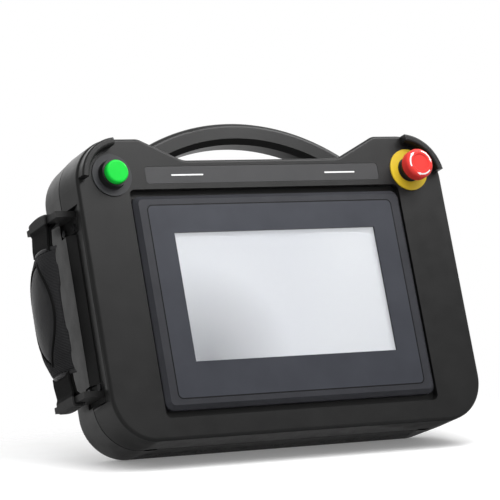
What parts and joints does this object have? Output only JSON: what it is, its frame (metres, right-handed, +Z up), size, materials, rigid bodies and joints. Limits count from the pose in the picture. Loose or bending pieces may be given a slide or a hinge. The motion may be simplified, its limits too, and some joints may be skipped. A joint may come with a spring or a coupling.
{
  "type": "handheld operator touch panel",
  "caption": "Handheld machine control panel: moulded two-part case with touch display, start button, twist-release stop button, arched carry handle and padded hand strap.",
  "frame": {"origin": "middle of the base, 1 mm in front of the parting line of the case", "axes": "+X to the right seen from the front, +Y to the rear, +Z up; the display faces -Y"},
  "size_m": [0.3223, 0.0791, 0.225],
  "materials": {
    "case_plastic": "fine-textured moulded plastic",
    "handle_plastic": "satin moulded plastic",
    "seal_rubber": "matt",
    "screw_steel": "dark zinc",
    "label_film": "satin film",
    "bezel_plastic": "fine-textured moulded plastic",
    "overlay": "satin film",
    "display_glass": "clear",
    "lcd": "silver-grey display, switched off",
    "board": "solder mask",
    "unit_plastic": "moulded plastic",
    "clamp_metal": "plain",
    "legend_black": "satin",
    "button_black": "moulded plastic",
    "button_green": "satin moulded plastic",
    "button_red": "gloss moulded plastic",
    "legend_yellow": "satin",
    "block_plastic": "moulded plastic",
    "spring_steel": "drawn wire",
    "anchor_plastic": "moulded plastic",
    "webbing": "woven nylon",
    "strap_fabric": "padded synthetic leather",
    "gland_plastic": "moulded nylon"
  },
  "bodies": {
    "case": {"front_cover": "case_plastic", "rear_shell": "case_plastic", "case_seal": "seal_rubber", "case_screws": "screw_steel", "handle_screws": "screw_steel", "carry_handle": "handle_plastic", "label_plate": "label_film", "display_bezel": "bezel_plastic", "overlay_film": "overlay", "touch_glass": "display_glass", "lcd_module": "lcd", "display_board": "board", "display_case": "unit_plastic", "display_gasket": "seal_rubber", "display_clamps": "clamp_metal", "clamp_screws": "screw_steel", "start_legend_plate": "legend_black", "start_button_body": "button_black", "start_nut": "button_black", "start_contact_block": "block_plastic", "start_spring": "spring_steel", "stop_legend_disc": "legend_yellow", "stop_button_body": "button_black", "stop_nut": "button_black", "stop_contact_block": "block_plastic", "stop_spring": "spring_steel", "strap_anchor_lower": "anchor_plastic", "strap_anchor_upper": "anchor_plastic", "anchor_screws": "screw_steel", "strap_webbing": "webbing", "strap_pad": "strap_fabric", "gland_body": "gland_plastic", "gland_cap": "gland_plastic", "gland_nut": "gland_plastic"},
    "start_button": {"start_cap": "button_green"},
    "stop_plunger": {"stop_shaft": "button_red"},
    "stop_knob": {"stop_head": "button_red"}
  },
  "joints": [
    {"name": "start_press", "type": "slide", "parent": "case", "child": "start_button", "axis": [0, 1, 0], "range_m": [0, 0.003], "stiffness_N_per_m": 900, "springref_m": -0.002, "deforming": ["start_spring"]},
    {"name": "stop_press", "type": "slide", "parent": "case", "child": "stop_plunger", "axis": [0, 1, 0], "range_m": [0, 0.004], "stiffness_N_per_m": 1500, "springref_m": -0.003, "deforming": ["stop_spring"]},
    {"name": "stop_twist", "type": "hinge", "parent": "stop_plunger", "child": "stop_knob", "pos_m": [0.116, -0.0401, 0.1785], "axis": [0, 1, 0], "range_deg": [0, 45], "stiffness_Nm_per_rad": 0.06, "springref_deg": -5.73}
  ]
}
